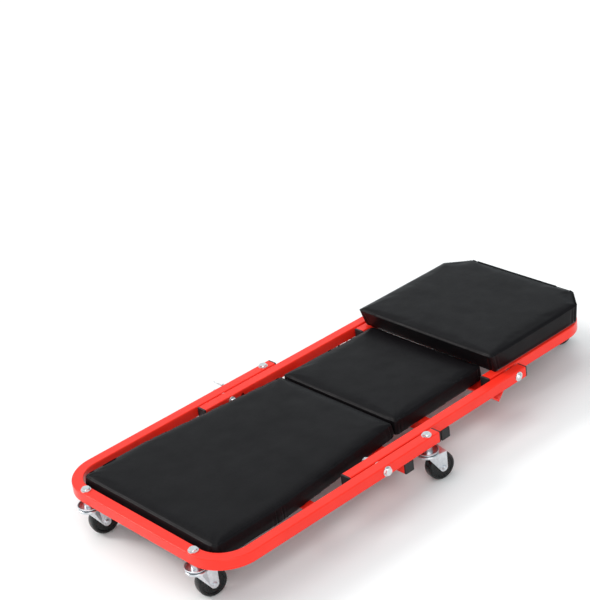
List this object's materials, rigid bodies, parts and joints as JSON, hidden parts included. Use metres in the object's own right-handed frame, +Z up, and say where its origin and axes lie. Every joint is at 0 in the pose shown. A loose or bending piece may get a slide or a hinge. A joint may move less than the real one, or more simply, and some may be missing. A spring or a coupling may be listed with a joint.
{
  "type": "mechanics creeper",
  "caption": "Low wheeled creeper with three padded sections on nested square-tube frames; it folds into a Z-shaped seat.",
  "frame": {"origin": "centre of the overall box on the floor, flat position", "axes": "+X along the length towards the head pad, +Y towards the left side with the lock pin, +Z up"},
  "size_m": [0.9858, 0.4652, 0.126],
  "materials": {
    "frame_paint": "gloss",
    "plug_plastic": "matte",
    "pad_vinyl": "satin",
    "pad_board": "matte",
    "staple_wire": "satin",
    "zinc_plate": "polished",
    "bright_steel": "satin",
    "wheel_plastic": "satin"
  },
  "bodies": {
    "base": {"base_caster_bolts": "bright_steel", "base_caster_stems": "zinc_plate", "base_crossbar": "frame_paint", "base_crossbar_plugs": "plug_plastic", "base_frame_tube": "frame_paint", "base_pad": "pad_vinyl", "base_pad_board": "pad_board", "base_pad_screws": "bright_steel", "base_pad_staples": "staple_wire", "base_pad_strip": "frame_paint", "base_pivot_bolts": "bright_steel", "base_pivot_nuts": "bright_steel", "base_pivot_washers": "bright_steel", "base_tube_plugs": "plug_plastic"},
    "middle": {"head_pivot_bolts": "bright_steel", "head_pivot_nuts": "bright_steel", "head_pivot_washers": "bright_steel", "mid_angle_bar": "frame_paint", "mid_crossbar": "frame_paint", "mid_crossbar_plugs": "plug_plastic", "mid_pad": "pad_vinyl", "mid_pad_board": "pad_board", "mid_pad_screws": "bright_steel", "mid_pad_staples": "staple_wire", "mid_side_tube_left": "frame_paint", "mid_side_tube_right": "frame_paint", "mid_tube_plugs": "plug_plastic"},
    "head": {"head_caster_bolts": "bright_steel", "head_caster_stems": "zinc_plate", "head_frame_tube": "frame_paint", "head_pad": "pad_vinyl", "head_pad_board": "pad_board", "head_pad_screws": "bright_steel", "head_pad_staples": "staple_wire", "head_tube_plugs": "plug_plastic"},
    "lock_pin": {"lock_pin": "bright_steel"},
    "pull_ring": {"pull_ring": "bright_steel"},
    "fork_foot_right": {"caster_fork_foot_right": "zinc_plate", "caster_axle_foot_right": "zinc_plate"},
    "wheel_foot_right": {"caster_wheel_foot_right": "wheel_plastic"},
    "fork_foot_left": {"caster_fork_foot_left": "zinc_plate", "caster_axle_foot_left": "zinc_plate"},
    "wheel_foot_left": {"caster_wheel_foot_left": "wheel_plastic"},
    "fork_middle_right": {"caster_fork_middle_right": "zinc_plate", "caster_axle_middle_right": "zinc_plate"},
    "wheel_middle_right": {"caster_wheel_middle_right": "wheel_plastic"},
    "fork_middle_left": {"caster_fork_middle_left": "zinc_plate", "caster_axle_middle_left": "zinc_plate"},
    "wheel_middle_left": {"caster_wheel_middle_left": "wheel_plastic"},
    "fork_head_right": {"caster_fork_head_right": "zinc_plate", "caster_axle_head_right": "zinc_plate"},
    "wheel_head_right": {"caster_wheel_head_right": "wheel_plastic"},
    "fork_head_left": {"caster_fork_head_left": "zinc_plate", "caster_axle_head_left": "zinc_plate"},
    "wheel_head_left": {"caster_wheel_head_left": "wheel_plastic"}
  },
  "joints": [
    {"name": "fold", "type": "hinge", "parent": "base", "child": "middle", "pos_m": [-0.1309, -0.0106, 0.079], "axis": [0, -1, 0], "range_deg": [0, 132.5]},
    {"name": "head_fold", "type": "hinge", "parent": "middle", "child": "head", "pos_m": [0.2221, -0.0106, 0.079], "axis": [0, -1, 0], "range_deg": [-132.5, 0]},
    {"name": "swivel_foot_right", "type": "hinge", "parent": "base", "child": "fork_foot_right", "pos_m": [-0.4739, -0.1466, 0.053], "axis": [0, 0, 1], "continuous": true},
    {"name": "roll_foot_right", "type": "hinge", "parent": "fork_foot_right", "child": "wheel_foot_right", "pos_m": [-0.45434, -0.15076, 0.025], "axis": [0.2079, 0.9781, 0], "continuous": true},
    {"name": "swivel_foot_left", "type": "hinge", "parent": "base", "child": "fork_foot_left", "pos_m": [-0.4739, 0.1254, 0.053], "axis": [0, 0, 1], "continuous": true},
    {"name": "roll_foot_left", "type": "hinge", "parent": "fork_foot_left", "child": "wheel_foot_left", "pos_m": [-0.45434, 0.12124, 0.025], "axis": [0.2079, 0.9781, 0], "continuous": true},
    {"name": "swivel_middle_right", "type": "hinge", "parent": "base", "child": "fork_middle_right", "pos_m": [-0.0259, -0.2106, 0.053], "axis": [0, 0, 1], "continuous": true},
    {"name": "roll_middle_right", "type": "hinge", "parent": "fork_middle_right", "child": "wheel_middle_right", "pos_m": [-0.00634, -0.21476, 0.025], "axis": [0.2079, 0.9781, 0], "continuous": true},
    {"name": "swivel_middle_left", "type": "hinge", "parent": "base", "child": "fork_middle_left", "pos_m": [-0.0259, 0.1894, 0.053], "axis": [0, 0, 1], "continuous": true},
    {"name": "roll_middle_left", "type": "hinge", "parent": "fork_middle_left", "child": "wheel_middle_left", "pos_m": [-0.00634, 0.18524, 0.025], "axis": [0.2079, 0.9781, 0], "continuous": true},
    {"name": "swivel_head_right", "type": "hinge", "parent": "head", "child": "fork_head_right", "pos_m": [0.4481, -0.0856, 0.053], "axis": [0, 0, 1], "continuous": true},
    {"name": "roll_head_right", "type": "hinge", "parent": "fork_head_right", "child": "wheel_head_right", "pos_m": [0.46766, -0.08976, 0.025], "axis": [0.2079, 0.9781, 0], "continuous": true},
    {"name": "swivel_head_left", "type": "hinge", "parent": "head", "child": "fork_head_left", "pos_m": [0.4481, 0.0644, 0.053], "axis": [0, 0, 1], "continuous": true},
    {"name": "roll_head_left", "type": "hinge", "parent": "fork_head_left", "child": "wheel_head_left", "pos_m": [0.46766, 0.06024, 0.025], "axis": [0.2079, 0.9781, 0], "continuous": true},
    {"name": "lock_slide", "type": "slide", "parent": "base", "child": "lock_pin", "axis": [0, 1, 0], "range_m": [-0.006, 0.015]},
    {"name": "ring_swing", "type": "hinge", "parent": "lock_pin", "child": "pull_ring", "pos_m": [-0.1054, 0.2086, 0.079], "axis": [-0.7071, 0, 0.7071], "range_deg": [-60, 60]}
  ],
  "couplings": [
    {"joint": "head_fold", "follows": "fold", "ratio": -1}
  ]
}
